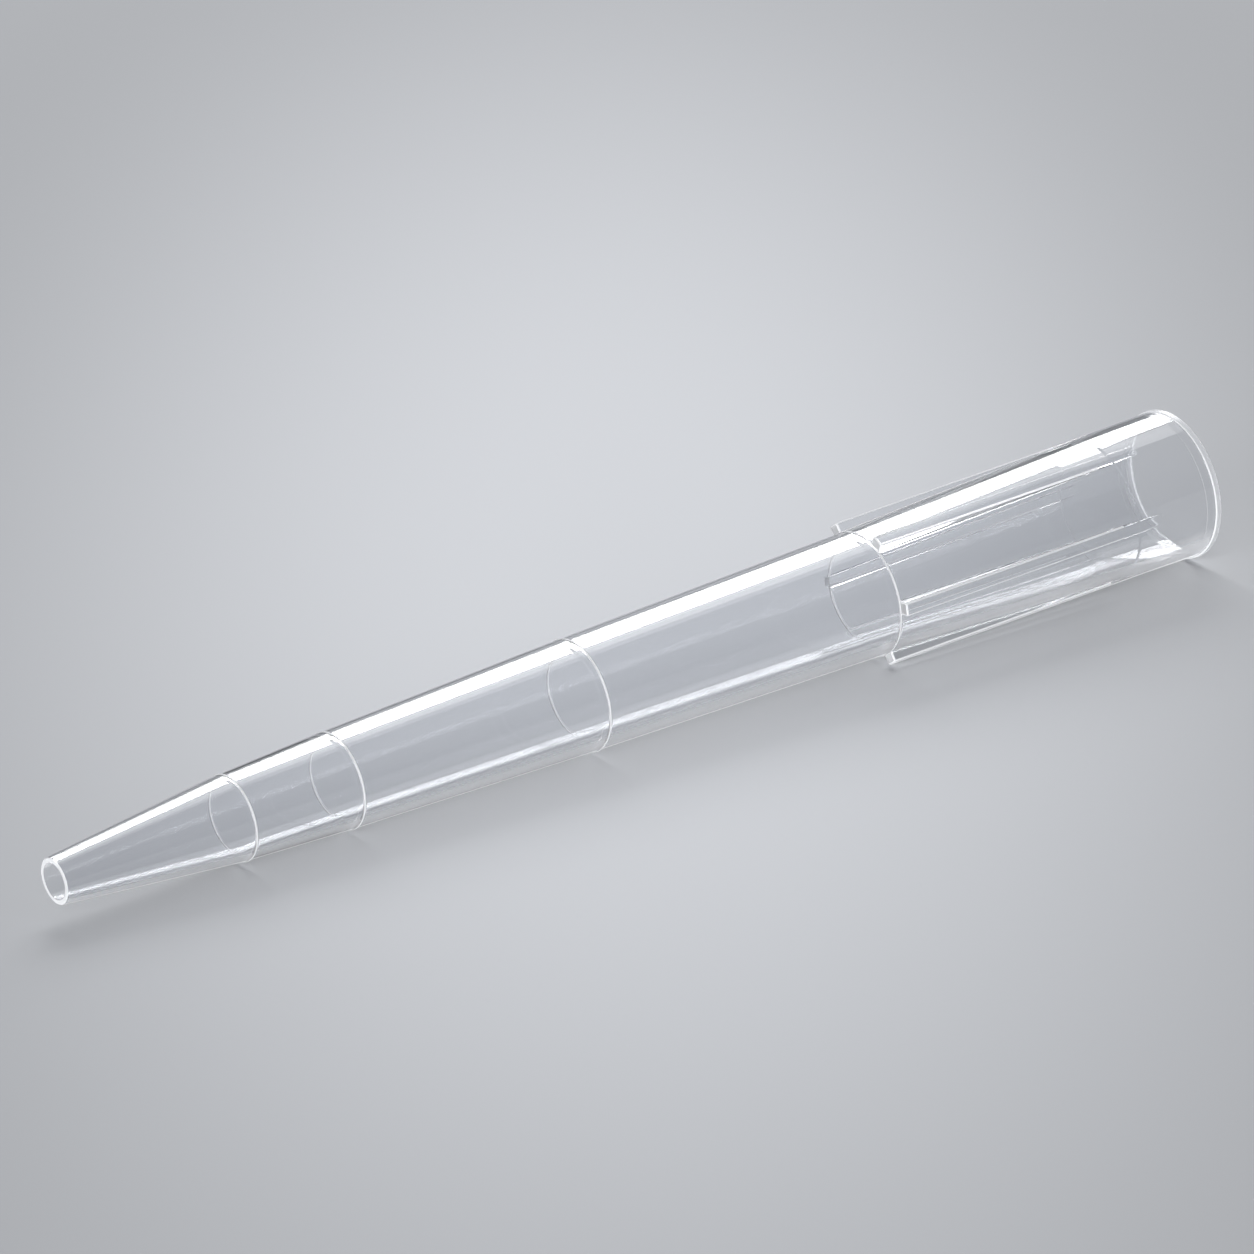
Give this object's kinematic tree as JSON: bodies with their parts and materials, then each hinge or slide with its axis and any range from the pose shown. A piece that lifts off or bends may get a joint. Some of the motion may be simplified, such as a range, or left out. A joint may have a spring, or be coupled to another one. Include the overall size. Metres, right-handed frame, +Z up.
{
  "type": "pipette tip",
  "caption": "Clear disposable pipette tip for up to 1 mL: tapered bore, raised volume rings, and a ribbed collar whose mouth seals on a pipette's nose cone.",
  "frame": {"origin": "on the surface it lies on, under the middle of its bounding box", "axes": "+X from the orifice end to the mouth, +Z up; the tip's own axis rises towards the mouth by 1.6 degrees, because it lies on its ribs and a volume ring"},
  "size_m": [0.0762, 0.0088, 0.0088],
  "materials": {
    "clear_polypropylene": "polished mould, water clear"
  },
  "bodies": {
    "root": {"pipette_tip": "clear_polypropylene"}
  },
  "joints": []
}
